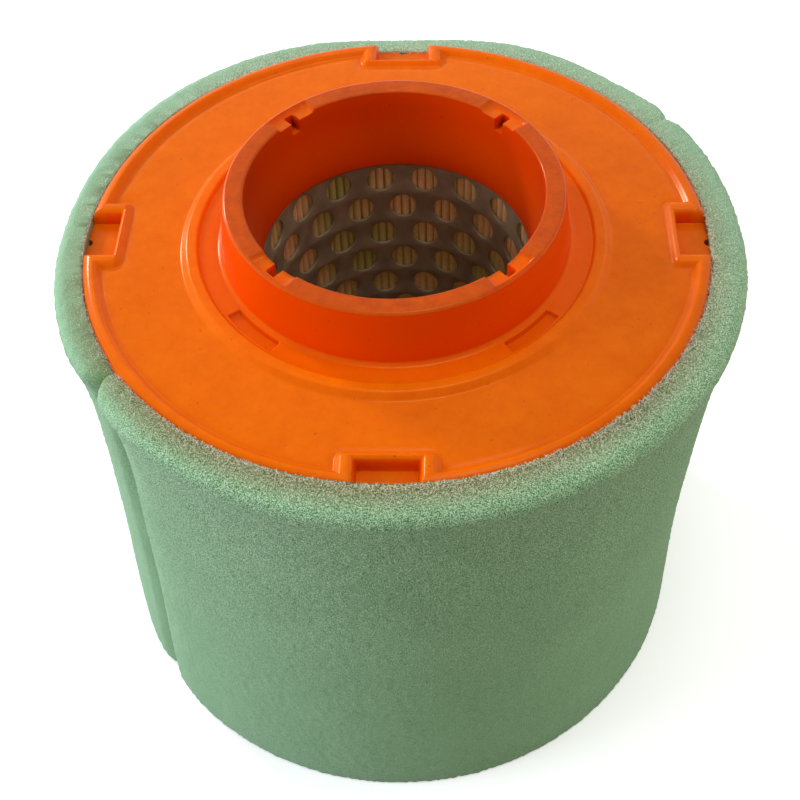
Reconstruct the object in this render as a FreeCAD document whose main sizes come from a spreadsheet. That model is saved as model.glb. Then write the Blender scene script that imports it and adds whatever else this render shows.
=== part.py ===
import FreeCAD, Part
import math
import os
import Sketcher
from FreeCAD import Placement, Rotation, Vector

# Round air filter element for a small engine, with the foam pre-cleaner sleeve that is pulled over it.
# Millimetres, +Z up, origin on the axis at the bottom face. The intake neck points up.
# The four rim slots lie on the X and Y axes, and the lip notches lie halfway between them.

SIZES = [
    # the element as a whole
    ("cap_diameter", 119.0, "outside diameter of both moulded end caps"),
    ("element_height", 104.5, "bottom face to the top of the rim bead"),
    ("cap_depth", 7.0, "height of the outside wall of either cap"),
    # top end cap: rim
    ("rim_width", 3.5, "width of the bead round the edge"),
    ("rim_rise", 0.9, "height of the rim bead above the flat field"),
    ("rim_flank", 0.6, "run of the slope inside the rim bead"),
    ("rim_bevel", 0.6, "bevel on the outer edges of the caps"),
    ("slot_width", 11.2, "width of a locating slot in the rim"),
    ("slot_reach", 6.4, "how far a slot runs in from the edge"),
    ("slot_drop", 2.6, "depth of a slot below the rim top"),
    ("slot_bead", 3.25, "width of the bead beside a slot"),
    ("slot_bead_end", 1.9, "width of the bead across the inner end of a slot"),
    ("nick_radius", 0.9, "half-round nick in the middle of each slot's edge"),
    ("nick_depth", 2.4, "height of that nick below the slot floor"),
    # top end cap: ridge and collar round the foot of the neck
    ("collar_width", 3.8, "flat ring between the foot of the neck and the ridge"),
    ("ridge_width", 3.5, "width of that ridge"),
    ("ridge_rise", 1.3, "height of that ridge above the flat field"),
    ("ridge_inner_flank", 0.5, "run of the slope on the ridge's inner side"),
    ("ridge_outer_flank", 1.1, "run of the slope on the ridge's outer side"),
    ("collar_rise", 0.5, "height of the ring inside the ridge above the field"),
    ("window_inner_edge", 0.8, "foot of the neck to the four shallow recesses in the collar"),
    ("window_outer_edge", 0.3, "those recesses to the ridge"),
    ("window_angle", 18.6, "degrees that one recess spans"),
    ("window_depth", 0.8, "depth of those recesses"),
    # top end cap: neck
    ("neck_bore", 55.5, "bore that seals on the intake stub"),
    ("neck_wall", 3.4, "wall of the neck at the lip"),
    ("neck_height", 11.1, "lip above the rim top"),
    ("neck_flare", 2.3, "how much wider the neck is at its foot, on the radius"),
    ("bore_land", 10.0, "straight length of the sealing bore"),
    ("lip_bevel", 0.4, "bevel on the outside of the lip"),
    ("notch_angle", 18.5, "degrees that one recess in the lip spans"),
    ("notch_depth", 0.9, "depth of a recess in the lip"),
    ("notch_border", 0.7, "lip left standing outside a recess"),
    ("pit_width", 2.4, "width of the vent pit in a recess"),
    ("pit_reach", 2.3, "how far a vent pit cuts into the wall of the neck"),
    ("pit_depth", 3.6, "depth of a vent pit below the lip"),
    # bottom end cap
    ("seat_ring", 6.0, "width of the ring that the element stands on"),
    ("base_recess", 0.9, "hollow inside that ring"),
    # core tube of perforated steel
    ("core_bore", 52.2, "inside width of the tube across its flats"),
    ("core_gauge", 0.6, "thickness of the sheet"),
    ("core_inset", 6.0, "depth of the tube's ends below the caps' outer faces"),
    ("core_angle", -1.0, "degrees the tube is turned against the rim slots"),
    ("core_fit", 0.05, "gap between the tube's corners and the caps"),
    ("throat_step", 0.25, "how far the caps cover the tube's ends on the inside"),
    ("hole_width", 6.0, "width of a hole"),
    ("row_pitch", 7.6, "distance between rows of holes"),
    ("first_row", 4.1, "middle of the top row below the tube's top end"),
    # pleated paper and the strip that joins its ends
    ("pleat_gap", 0.35, "paper to the core tube"),
    ("pleat_inset", 2.8, "paper inside the outer diameter of the caps"),
    ("paper", 0.5, "thickness of the paper"),
    ("fold_width", 1.1, "width of a fold, outside"),
    ("seam_leg", 7.0, "depth of the seam strip's two legs"),
    ("seam_gauge", 0.4, "thickness of the seam strip"),
    ("seam_fit", 0.1, "seam strip to the paper"),
    ("seam_angle", 90.0, "degrees round the axis to the paper seam"),
    # foam pre-cleaner sleeve, two sheets welded along two seams
    ("sleeve_fit", 0.3, "radial gap between the caps and the sleeve"),
    ("sleeve_height", 103.2, "height of the sleeve"),
    ("sleeve_top", 6.2, "thickness of the foam at the top"),
    ("sleeve_waist", 4.0, "thickness of the foam below its flare"),
    ("sleeve_flare_start", 80.0, "height at which the foam starts to flare"),
    ("sleeve_bevel", 2.0, "bevel on the sleeve's top outer edge"),
    ("weld_left_angle", -144.9, "degrees round the axis to the left weld"),
    ("weld_right_angle", 32.6, "degrees round the axis to the right weld"),
    ("weld_thickness", 2.2, "foam left at the bottom of the crease along a weld"),
    ("weld_mouth", 2.4, "half the width of that crease at its mouth"),
]

CORE_SIDES = 36      # flats of the rolled tube: the sheet kinks along its columns of holes
CORE_CORNER = 1 / math.cos(math.pi / CORE_SIDES)     # corner of the polygon over its flat
HOLE_SIDES = 6       # punched holes, drawn as hexagons with a corner up
PLEATS = 100
QUARTERS = 4         # slots, recesses, notches and pits all come in fours
DIAGONAL = 45.0      # degrees from a rim slot to the notches and recesses

doc = FreeCAD.newDocument("air_filter_element")
sheet = doc.addObject("Spreadsheet::Sheet", "Sizes")
for row, (alias, number, note) in enumerate(SIZES, start=1):
    sheet.set(f"A{row}", alias)
    sheet.set(f"B{row}", str(number))
    sheet.setAlias(f"B{row}", alias)
    sheet.set(f"C{row}", note)
doc.recompute()


class Size:
    """A length together with the expression that gives it, so that one value draws and binds."""

    def __init__(self, text, value):
        self.text = text
        self.value = value

    def __add__(self, other):
        other = as_size(other)
        return Size(f"({self.text} + {other.text})", self.value + other.value)

    def __sub__(self, other):
        other = as_size(other)
        return Size(f"({self.text} - {other.text})", self.value - other.value)

    def __mul__(self, factor):
        return Size(f"({self.text} * {factor})", self.value * factor)

    def __truediv__(self, divisor):
        return Size(f"({self.text} / {divisor})", self.value / divisor)

    def __neg__(self):
        return Size(f"(0 - {self.text})", -self.value)


def as_size(number):
    return number if isinstance(number, Size) else Size(str(number), float(number))


def size(alias):
    return Size(f"Sizes.{alias}", float(sheet.get(alias)))


# Places that more than one piece takes its shape from.
cap_radius = size("cap_diameter") / 2
rim_top = size("element_height")
field = rim_top - size("rim_rise")
cap_under = rim_top - size("cap_depth")
lip = rim_top + size("neck_height")
bore_radius = size("neck_bore") / 2
lip_radius = bore_radius + size("neck_wall")
core_inner = size("core_bore") / 2
core_outer = core_inner + size("core_gauge")
throat = core_inner - size("throat_step")
core_outer_corner = core_outer * CORE_CORNER + size("core_fit")
core_bottom = size("core_inset")
core_top = rim_top - size("core_inset")


# ---------------------------------------------------------------- drawing helpers

def new_body(label):
    body = doc.addObject("PartDesign::Body", label)
    body.Label = label
    return body


def origin_feature(body, role):
    return next(item for item in body.Origin.OriginFeatures if item.Role == role)


def new_sketch(body, name, plane, lift=None, turn=None):
    """A sketch on an origin plane, raised by lift along its normal, or turned about the Z axis."""
    sketch = body.newObject("Sketcher::SketchObject", name)
    sketch.AttachmentSupport = [(origin_feature(body, plane), "")]
    sketch.MapMode = "FlatFace"
    if turn is not None:
        upright = Vector(0, 1, 0) if plane == "XZ_Plane" else Vector(0, 0, 1)
        turn = as_size(turn)
        sketch.AttachmentOffset = Placement(Vector(), Rotation(upright, turn.value))
        sketch.setExpression("AttachmentOffset.Rotation.Angle", turn.text)
    if lift is not None:
        sketch.setExpression("AttachmentOffset.Base.z", lift.text)
    return sketch


def place_point(sketch, geometry, vertex, x, y):
    """Ties one point of the sketch to its two coordinates."""
    for kind, axis, coordinate in (("DistanceX", -2, x), ("DistanceY", -1, y)):
        coordinate = as_size(coordinate)
        if coordinate.value == 0:
            sketch.addConstraint(Sketcher.Constraint("PointOnObject", geometry, vertex, axis))
            continue
        index = sketch.addConstraint(
            Sketcher.Constraint(kind, -1, 1, geometry, vertex, coordinate.value))
        sketch.setExpression(f"Constraints[{index}]", coordinate.text)


def draw_outline(sketch, corners):
    """A closed outline of straight lines, every corner tied to the sheet."""
    pairs = [(as_size(x), as_size(y)) for x, y in corners]
    points = [Vector(x.value, y.value, 0) for x, y in pairs]
    for start, end in zip(points, points[1:] + points[:1]):
        sketch.addGeometry(Part.LineSegment(start, end), False)
    for side, (x, y) in enumerate(pairs):
        following = (side + 1) % len(pairs)
        sketch.addConstraint(Sketcher.Constraint("Coincident", side, 2, following, 1))
        place_point(sketch, side, 1, x, y)


def draw_rectangle(sketch, x_low, x_high, y_low, y_high):
    draw_outline(sketch, [(x_low, y_low), (x_high, y_low), (x_high, y_high), (x_low, y_high)])


def revolve(body, sketch, name, kind="Revolution", angle=360.0, midplane=False):
    feature = body.newObject(f"PartDesign::{kind}", name)
    feature.Profile = sketch
    feature.ReferenceAxis = (sketch, ["V_Axis"])
    feature.Midplane = midplane
    angle = as_size(angle)
    feature.Angle = angle.value
    feature.setExpression("Angle", angle.text)
    sketch.Visibility = False
    return feature


def extrude(body, sketch, name, kind, length):
    """A Pad goes up from its sketch and a Pocket goes down from it."""
    feature = body.newObject(f"PartDesign::{kind}", name)
    feature.Profile = sketch
    feature.Length = length.value
    feature.setExpression("Length", length.text)
    sketch.Visibility = False
    return feature


def round_the_axis(body, feature, name):
    """Repeats a feature in every quarter."""
    pattern = body.newObject("PartDesign::PolarPattern", name)
    pattern.Originals = [feature]
    pattern.Axis = (origin_feature(body, "Z_Axis"), [""])
    pattern.Angle = 360
    pattern.Occurrences = QUARTERS
    body.Tip = pattern
    return pattern


def bevel(body, name, width, *rings):
    """Bevels every edge that runs round the axis at one of the rings' radius and height."""
    doc.recompute()
    base = body.Tip
    if not base.isValid():
        raise RuntimeError(f"{base.Label} failed before {name}")

    def on_a_ring(edge):
        curve = edge.Curve
        return isinstance(curve, Part.Circle) and any(
            math.isclose(curve.Radius, radius.value, abs_tol=1e-4)
            and math.isclose(curve.Center.z, height.value, abs_tol=1e-4)
            and math.hypot(curve.Center.x, curve.Center.y) < 1e-4
            for radius, height in rings)

    feature = body.newObject("PartDesign::Chamfer", name)
    feature.Base = (base, [f"Edge{i}" for i, edge in enumerate(base.Shape.Edges, start=1)
                           if on_a_ring(edge)])
    feature.Size = width.value
    feature.setExpression("Size", width.text)
    body.Tip = feature


# ---------------------------------------------------------------- top end cap

def make_top_end_cap():
    """Soft orange moulding: flat field, rim bead with four slots, ridge, and the intake neck."""
    body = new_body("top_end_cap")
    foot_radius = lip_radius + size("neck_flare")
    collar = field + size("collar_rise")
    ridge_inner = foot_radius + size("collar_width")
    ridge_outer = ridge_inner + size("ridge_width")
    ridge_top = field + size("ridge_rise")
    rim_inner = cap_radius - size("rim_width")

    section = new_sketch(body, "top_cap_section", "XZ_Plane")
    draw_outline(section, [
        (throat, core_top),
        (bore_radius, lip - size("bore_land")),
        (bore_radius, lip),
        (lip_radius, lip),
        (foot_radius, collar),
        (ridge_inner, collar),
        (ridge_inner + size("ridge_inner_flank"), ridge_top),
        (ridge_outer - size("ridge_outer_flank"), ridge_top),
        (ridge_outer, field),
        (rim_inner, field),
        (rim_inner + size("rim_flank"), rim_top),
        (cap_radius, rim_top),
        (cap_radius, cap_under),
        (core_outer_corner, cap_under),
        (core_outer_corner, core_top),
    ])
    revolve(body, section, "top_cap_turned")

    # the rim bead turns in round each slot
    bead_inner = cap_radius - size("slot_reach") - size("slot_bead_end")
    half_bead = size("slot_width") / 2 + size("slot_bead")
    sketch = new_sketch(body, "slot_bead_outline", "XY_Plane", lift=field)
    draw_rectangle(sketch, bead_inner, cap_radius - size("rim_width") / 2, -half_bead, half_bead)
    bead = extrude(body, sketch, "slot_bead_pad", "Pad", size("rim_rise"))
    round_the_axis(body, bead, "slot_beads")

    half_slot = size("slot_width") / 2
    sketch = new_sketch(body, "slot_outline", "XY_Plane", lift=rim_top)
    draw_rectangle(sketch, cap_radius - size("slot_reach"), cap_radius + size("slot_reach"),
                   -half_slot, half_slot)
    slot = extrude(body, sketch, "slot_cut", "Pocket", size("slot_drop"))
    round_the_axis(body, slot, "slots")

    sketch = new_sketch(body, "nick_outline", "XY_Plane", lift=rim_top - size("slot_drop"))
    draw_outline(sketch, [(cap_radius - size("nick_radius"), -size("nick_radius") * 0.6),
                          (cap_radius + size("nick_radius"), -size("nick_radius")),
                          (cap_radius + size("nick_radius"), size("nick_radius")),
                          (cap_radius - size("nick_radius"), size("nick_radius") * 0.6)])
    nick = extrude(body, sketch, "nick_cut", "Pocket", size("nick_depth"))
    round_the_axis(body, nick, "nicks")

    # four shallow recesses in the collar, between the neck and the ridge
    sketch = new_sketch(body, "window_section", "XZ_Plane", turn=DIAGONAL)
    draw_rectangle(sketch, foot_radius + size("window_inner_edge"), ridge_inner - size("window_outer_edge"),
                   collar - size("window_depth"), collar + size("window_depth"))
    window = revolve(body, sketch, "window_cut", "Groove", size("window_angle"), midplane=True)
    round_the_axis(body, window, "windows")

    # recesses across the lip, each with a vent pit at the bore
    sketch = new_sketch(body, "notch_section", "XZ_Plane", turn=DIAGONAL)
    draw_rectangle(sketch, bore_radius - size("pit_reach"), lip_radius - size("notch_border"),
                   lip - size("notch_depth"), lip + size("notch_depth"))
    notch = revolve(body, sketch, "notch_cut", "Groove", size("notch_angle"), midplane=True)
    round_the_axis(body, notch, "notches")

    sketch = new_sketch(body, "pit_outline", "XY_Plane", lift=lip, turn=DIAGONAL)
    draw_rectangle(sketch, bore_radius - size("pit_reach"), bore_radius + size("pit_reach"),
                   -size("pit_width") / 2, size("pit_width") / 2)
    pit = extrude(body, sketch, "pit_cut", "Pocket", size("pit_depth"))
    round_the_axis(body, pit, "pits")

    bevel(body, "lip_edge", size("lip_bevel"), (lip_radius, lip))
    bevel(body, "rim_edge", size("rim_bevel"), (cap_radius, rim_top))
    return body


# ---------------------------------------------------------------- bottom end cap

def make_bottom_end_cap():
    """The same moulding closed by a floor. The element stands on its outer ring."""
    body = new_body("bottom_end_cap")
    seat_inner = cap_radius - size("seat_ring")
    recess = size("base_recess")
    section = new_sketch(body, "bottom_cap_section", "XZ_Plane")
    draw_outline(section, [
        (0, recess),
        (seat_inner - recess, recess),
        (seat_inner, 0),
        (cap_radius, 0),
        (cap_radius, size("cap_depth")),
        (core_outer_corner, size("cap_depth")),
        (core_outer_corner, core_bottom),
        (0, core_bottom),
    ])
    revolve(body, section, "bottom_cap_turned")
    bevel(body, "bottom_edge", size("rim_bevel"), (cap_radius, as_size(0)))
    return body


# ---------------------------------------------------------------- perforated core tube

def new_prism(name, sides, circumradius, height):
    """An upright prism with a flat to each side, bound to the sheet."""
    shape = doc.addObject("Part::Prism", name)
    shape.Polygon = sides
    shape.setExpression("Circumradius", circumradius.text)
    shape.setExpression("Height", height.text)
    return shape


def cut(name, base, tool):
    result = doc.addObject("Part::Cut", name)
    result.Base = base
    result.Tool = tool
    return result


def punched_rows():
    """Every hole's punch: hexagons with a corner up, in rows that are staggered by half a pitch."""
    corner_radius = size("hole_width").value / (2 * math.cos(math.pi / HOLE_SIDES))
    corners = [Vector(0, corner_radius * math.sin(2 * math.pi * i / HOLE_SIDES),
                      corner_radius * math.cos(2 * math.pi * i / HOLE_SIDES))
               for i in range(HOLE_SIDES)]
    outline = Part.makePolygon(corners + [corners[0]])
    half_pitch = 360 / CORE_SIDES
    height = core_top.value - core_bottom.value
    drop = size("first_row").value
    turn = 0.0
    punches = []
    while drop + size("first_row").value < height:
        for column in range(CORE_SIDES // 2):
            punch = Part.Face(outline).extrude(Vector(2 * size("core_gauge").value, 0, 0))
            punch.translate(Vector(core_inner.value - size("core_gauge").value / 2, 0, height - drop))
            punch.rotate(Vector(), Vector(0, 0, 1), turn + column * 2 * half_pitch)
            punches.append(punch)
        drop += size("row_pitch").value
        turn = half_pitch - turn
    return Part.makeCompound(punches)


def make_core_tube():
    """Perforated steel strip rolled into a tube. It kinks along its columns of holes."""
    height = core_top - core_bottom
    blank = new_prism("core_blank", CORE_SIDES, core_outer * CORE_CORNER, height)
    bore = new_prism("core_hollow", CORE_SIDES, core_inner * CORE_CORNER, height)
    punches = doc.addObject("Part::Feature", "core_punches")
    punches.Shape = punched_rows()
    tube = cut("core_tube", cut("core_plain_tube", blank, bore), punches)
    tube.setExpression("Placement.Base.z", core_bottom.text)
    tube.setExpression("Placement.Rotation.Angle", size("core_angle").text)
    return tube


# ---------------------------------------------------------------- pleated paper and seam strip

def polar(radius, degrees, sideways=0.0):
    """A point at a radius and an angle, moved sideways along the tangent."""
    angle = math.radians(degrees)
    return Vector(radius * math.cos(angle) - sideways * math.sin(angle),
                  radius * math.sin(angle) + sideways * math.cos(angle), 0)


def prism(points, bottom, height):
    wire = Part.makePolygon(points + [points[0]])
    solid = Part.Face(wire).extrude(Vector(0, 0, height))
    solid.translate(Vector(0, 0, bottom))
    return solid


pleat_inner = core_outer.value * CORE_CORNER + size("pleat_gap").value
pleat_outer = cap_radius.value - size("pleat_inset").value
pleat_height = cap_under.value - size("cap_depth").value


def make_pleated_media():
    """One endless zigzag of paper, glued into both caps."""
    pitch = 360 / PLEATS
    half_fold = size("fold_width").value / 2
    sheet_depth = size("paper").value
    outside, inside = [], []
    for pleat in range(PLEATS):
        angle = size("seam_angle").value + pleat * pitch
        outside += [polar(pleat_outer, angle, -half_fold), polar(pleat_outer, angle, half_fold),
                    polar(pleat_inner + sheet_depth, angle + pitch / 2)]
        inside += [polar(pleat_outer - sheet_depth, angle),
                   polar(pleat_inner, angle + pitch / 2, -half_fold * 0.9),
                   polar(pleat_inner, angle + pitch / 2, half_fold * 0.9)]
    bottom = size("cap_depth").value
    ring = prism(outside, bottom, pleat_height).cut(prism(inside, bottom, pleat_height))
    media = doc.addObject("Part::Feature", "pleated_media")
    media.Shape = ring
    return media


def make_pleat_seam_strip():
    """Folded metal strip, crimped over the pleat where the two ends of the paper meet."""
    seam = size("seam_angle").value
    tip = pleat_outer + size("seam_fit").value
    leg = size("seam_leg").value
    gauge = size("seam_gauge").value
    fold = size("fold_width").value / 2 + size("seam_fit").value
    spread = fold + 0.1 * leg * (1 - fold / leg) * 0.5
    outline = [polar(tip - leg, seam, -spread - gauge), polar(tip + gauge, seam, -fold - gauge),
               polar(tip + gauge, seam, fold + gauge), polar(tip - leg, seam, spread + gauge),
               polar(tip - leg, seam, spread), polar(tip, seam, fold),
               polar(tip, seam, -fold), polar(tip - leg, seam, -spread)]
    strip = doc.addObject("Part::Feature", "pleat_seam_strip")
    strip.Shape = prism(outline, size("cap_depth").value, pleat_height)
    return strip


# ---------------------------------------------------------------- foam pre-cleaner sleeve

def make_sleeve_panel(label, start, end):
    """One sheet of the sleeve between two welds, flared where the cap's rim spreads its top."""
    body = new_body(label)
    inner = cap_radius + size("sleeve_fit")
    height = size("sleeve_height")
    waist_radius = inner + size("sleeve_waist")
    top_radius = inner + size("sleeve_top")
    section = new_sketch(body, f"{label}_section", "XZ_Plane", turn=start)
    draw_outline(section, [
        (inner, 0),
        (waist_radius, 0),
        (waist_radius, size("sleeve_flare_start")),
        (top_radius, height),
        (inner, height),
    ])
    revolve(body, section, f"{label}_bent", angle=end - start)
    bevel(body, f"{label}_edge", size("sleeve_bevel"), (top_radius, height))

    # the foam is pinched where the sheets are welded, which leaves a crease down each end
    floor = inner + size("weld_thickness")
    mouth = top_radius + size("weld_mouth")
    for end_name, turn, side in (("start", start, 1), ("end", end, -1)):
        sketch = new_sketch(body, f"{label}_{end_name}_crease", "XY_Plane", lift=height, turn=turn)
        draw_outline(sketch, [(floor, 0), (mouth, size("weld_mouth") * -side),
                              (mouth, size("weld_mouth") * side)])
        extrude(body, sketch, f"{label}_{end_name}_pinch", "Pocket", height)
    return body


# ---------------------------------------------------------------- the parts

parts = [
    make_top_end_cap(),
    make_bottom_end_cap(),
    make_core_tube(),
    make_pleated_media(),
    make_pleat_seam_strip(),
    make_sleeve_panel("sleeve_front_panel", size("weld_left_angle"), size("weld_right_angle")),
    make_sleeve_panel("sleeve_back_panel", size("weld_right_angle"), size("weld_left_angle") + 360),
]
doc.recompute()

for item in doc.Objects:
    if "Invalid" in item.State or "Error" in item.State:
        raise RuntimeError(f"{item.Name} failed: {item.State}")
for part in parts:
    if part.Shape.isNull() or not part.Shape.isValid() or len(part.Shape.Solids) != 1:
        raise RuntimeError(f"{part.Label} is not one valid solid")

os.makedirs("parts", exist_ok=True)
for part in parts:
    part.Shape.exportStep(f"parts/{part.Label}.step")
    box = part.Shape.BoundBox
    print(f"{part.Label}: {part.Shape.Volume / 1000:.1f} cm3, "
          f"z {box.ZMin:.1f} to {box.ZMax:.1f}, across {box.XLength:.1f}")
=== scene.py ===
import math
import bpy
import numpy as np
from mathutils import Matrix, Vector


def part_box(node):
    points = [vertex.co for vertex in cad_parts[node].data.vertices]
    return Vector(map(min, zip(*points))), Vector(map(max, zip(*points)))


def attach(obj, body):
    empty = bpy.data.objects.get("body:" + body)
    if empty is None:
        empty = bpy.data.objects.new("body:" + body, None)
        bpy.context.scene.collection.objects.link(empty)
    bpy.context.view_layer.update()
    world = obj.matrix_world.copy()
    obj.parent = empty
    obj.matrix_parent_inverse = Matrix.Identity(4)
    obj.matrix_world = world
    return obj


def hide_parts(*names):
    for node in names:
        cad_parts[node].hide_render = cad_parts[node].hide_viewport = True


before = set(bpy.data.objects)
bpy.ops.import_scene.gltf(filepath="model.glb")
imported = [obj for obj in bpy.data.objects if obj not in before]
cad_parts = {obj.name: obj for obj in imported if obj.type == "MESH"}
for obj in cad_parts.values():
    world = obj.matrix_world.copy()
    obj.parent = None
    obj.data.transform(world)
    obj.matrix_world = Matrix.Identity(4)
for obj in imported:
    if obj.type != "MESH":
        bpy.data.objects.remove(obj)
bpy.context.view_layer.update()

# ------------------------------------------------------------------ core tube
# Perforated steel strip rolled into a tube, with round holes in staggered rows. The punch has rolled the
# edges of the holes over a little. Both caps are cast round the tube's ends.

mm = 0.001
HOLES_ROUND = 18
HOLE_WIDTH = 5.8 * mm
HOLE_HEIGHT = 6.3 * mm
ROW_PITCH = 7.6 * mm
FIRST_ROW = 4.1 * mm
ROWS = 12
TUBE_SHEET = 0.6 * mm
TUBE_TURN = math.radians(-1.0)
HOLE_STEPS = 32
PUNCH_ROLL = 0.14 * mm
TUBE_FIT = 0.1 * mm          # play between the tube and the caps' seats


def new_piece(name, points, faces, material, sharp=40.0):
    """A mesh piece from points in metres. Edges that turn by more than sharp degrees stay crisp."""
    mesh = bpy.data.meshes.new(name)
    mesh.from_pydata(np.asarray(points).tolist(), [], [tuple(face) for face in faces])
    mesh.validate()
    mesh.shade_smooth()
    mesh.set_sharp_from_angle(angle=math.radians(sharp))
    mesh.materials.append(material)
    piece = bpy.data.objects.new(name, mesh)
    bpy.context.scene.collection.objects.link(piece)
    return piece


def grid_faces(rings, count, close=True, flip=False):
    """Faces between neighbouring rings of count points. close joins the last ring to the first one too."""
    faces = []
    for ring in range(rings if close else rings - 1):
        a, b = ring * count, (ring + 1) % rings * count
        for k in range(count):
            n = (k + 1) % count
            faces.append((a + k, b + k, b + n, a + n) if flip else (a + k, a + n, b + n, b + k))
    return faces


def weld(points, faces, gap=0.01 * mm):
    """Joins points of neighbouring patches that lie in the same place."""
    keys = np.round(points / gap).astype(np.int64)
    _, first, back = np.unique(keys, axis=0, return_index=True, return_inverse=True)
    return points[first], back.reshape(-1)[np.asarray(faces)]


def new_material(name, color, roughness, metallic=0.0):
    """A principled material, with its node tree and its shader."""
    material = bpy.data.materials.new(name)
    material.use_nodes = True
    shader = material.node_tree.nodes["Principled BSDF"]
    shader.inputs["Base Color"].default_value = (*color, 1.0)
    shader.inputs["Roughness"].default_value = roughness
    shader.inputs["Metallic"].default_value = metallic
    return material, material.node_tree, shader


def add_node(tree, kind, inputs=None, **settings):
    """A shader node with its settings. inputs gives numbers, colours or sockets to link."""
    node = tree.nodes.new(kind)
    for key, value in settings.items():
        setattr(node, key, value)
    for key, value in (inputs or {}).items():
        if isinstance(value, bpy.types.NodeSocket):
            tree.links.new(value, node.inputs[key])
        else:
            node.inputs[key].default_value = value
    return node


def noise(tree, scale, detail=3.0, roughness=0.55):
    """Noise in the object's own space. scale is how many features fit in a metre."""
    place = add_node(tree, "ShaderNodeTexCoord").outputs["Object"]
    return add_node(tree, "ShaderNodeTexNoise",
                    {"Vector": place, "Scale": scale, "Detail": detail, "Roughness": roughness})


def ramp(tree, value, stops):
    """A colour ramp through (position, colour) stops."""
    node = add_node(tree, "ShaderNodeValToRGB", {"Fac": value})
    while len(node.color_ramp.elements) < len(stops):
        node.color_ramp.elements.new(0.5)
    for element, (position, color) in zip(node.color_ramp.elements, stops):
        element.position = position
        element.color = (*color, 1.0)
    return node.outputs["Color"]


def blend_colors(tree, mask, first, second, mode="MIX"):
    """Mixes two colours. mask is a number or a socket."""
    node = add_node(tree, "ShaderNodeMix", data_type="RGBA", blend_type=mode)
    for index, value in ((0, mask), (6, first), (7, second)):
        if isinstance(value, bpy.types.NodeSocket):
            tree.links.new(value, node.inputs[index])
        elif index:
            node.inputs[index].default_value = (*value, 1.0)
        else:
            node.inputs[index].default_value = value
    return node.outputs[2]


def span(tree, value, start=0.0, end=1.0, low=0.0, high=1.0):
    """Maps a value between start and end on to the range from low to high, and holds it there beyond."""
    return add_node(tree, "ShaderNodeMapRange", {"Value": value, "From Min": start, "From Max": end,
                                                 "To Min": low, "To Max": high}).outputs["Result"]


def multiply(tree, first, second):
    return add_node(tree, "ShaderNodeMath", {0: first, 1: second}, operation="MULTIPLY").outputs[0]


def reach_from_axis(tree):
    """How far a point lies from the upright axis of the element, in metres."""
    place = add_node(tree, "ShaderNodeTexCoord").outputs["Object"]
    level = add_node(tree, "ShaderNodeVectorMath", {0: place, 1: (1.0, 1.0, 0.0)}, operation="MULTIPLY")
    return add_node(tree, "ShaderNodeVectorMath", {0: level.outputs["Vector"]},
                    operation="LENGTH").outputs["Value"]


def bump(tree, shader, height, distance, strength=1.0):
    node = add_node(tree, "ShaderNodeBump",
                    {"Height": height, "Distance": distance, "Strength": strength})
    tree.links.new(node.outputs["Normal"], shader.inputs["Normal"])


def tube_steel():
    """Dull, dark strip with a film of oil and faint brown staining."""
    material, tree, shader = new_material("core_steel", (0.17, 0.12, 0.09), 0.5, 0.2)
    stain = noise(tree, 260).outputs["Fac"]
    color = ramp(tree, stain, [(0.35, (0.26, 0.205, 0.128)), (0.7, (0.36, 0.29, 0.18))])
    tree.links.new(color, shader.inputs["Base Color"])
    tree.links.new(span(tree, stain, low=0.6, high=0.8), shader.inputs["Roughness"])
    shader.inputs["Specular IOR Level"].default_value = 0.25
    bump(tree, shader, noise(tree, 2200).outputs["Fac"], 0.03 * mm)
    return material


def make_core_tube():
    low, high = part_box("core_tube")
    outer = high.x - TUBE_FIT
    inner = outer - TUBE_SHEET
    cell = 2 * math.pi / HOLES_ROUND
    width = cell * outer
    side = HOLE_STEPS // 4

    # one cell: a round hole in a rectangle, both with as many points
    turn = (np.arange(HOLE_STEPS) - side / 2) * 2 * math.pi / HOLE_STEPS
    along = np.linspace(-0.5, 0.5, side + 1)[:-1]
    edge = np.concatenate([np.c_[np.full(side, 0.5), along], np.c_[-along, np.full(side, 0.5)],
                           np.c_[np.full(side, -0.5), -along], np.c_[along, np.full(side, -0.5)]])
    circle = np.c_[np.cos(turn), np.sin(turn)]
    hole = circle * [HOLE_WIDTH / 2, HOLE_HEIGHT / 2]
    lip = circle * [HOLE_WIDTH / 2 + PUNCH_ROLL, HOLE_HEIGHT / 2 + PUNCH_ROLL]
    frame_edge = edge * [width, ROW_PITCH]
    roll = PUNCH_ROLL / 2
    rings = [(frame_edge, inner), (lip, inner), (hole, inner + roll),
             (hole, outer - roll), (lip, outer), (frame_edge, outer)]

    points, faces = [], []

    def add_patch(rows):
        """Joins rows of points into a strip of faces that runs round and closes on itself."""
        start = sum(len(block) for block in points)
        points.append(np.concatenate(rows))
        strip = grid_faces(len(rows), len(rows[0]), close=False)
        faces.extend((np.array(strip) + start).tolist())

    def wrap(across, heights, radius):
        angle = across / outer + TUBE_TURN
        return np.c_[radius * np.cos(angle), radius * np.sin(angle), heights]

    for row in range(ROWS):
        middle = high.z - FIRST_ROW - row * ROW_PITCH
        for column in range(HOLES_ROUND):
            across = (column + 0.5 * (row % 2)) * width
            add_patch([wrap(flat[:, 0] + across, np.minimum(flat[:, 1] + middle, high.z), radius)
                       for flat, radius in rings])
    # the plain hem below the last row, and the cut end above the first
    hem = np.arange(HOLES_ROUND * side) * width / side
    last = middle - ROW_PITCH / 2
    add_patch([wrap(hem, np.full(len(hem), z), r)
               for z, r in ((last, outer), (low.z, outer), (low.z, inner), (last, inner))])
    add_patch([wrap(hem, np.full(len(hem), high.z), r) for r in (inner, outer)])
    return new_piece("core_tube_perforated", *weld(np.concatenate(points), faces), tube_steel())


core_tube = make_core_tube()
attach(core_tube, "element")
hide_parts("core_tube")

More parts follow.
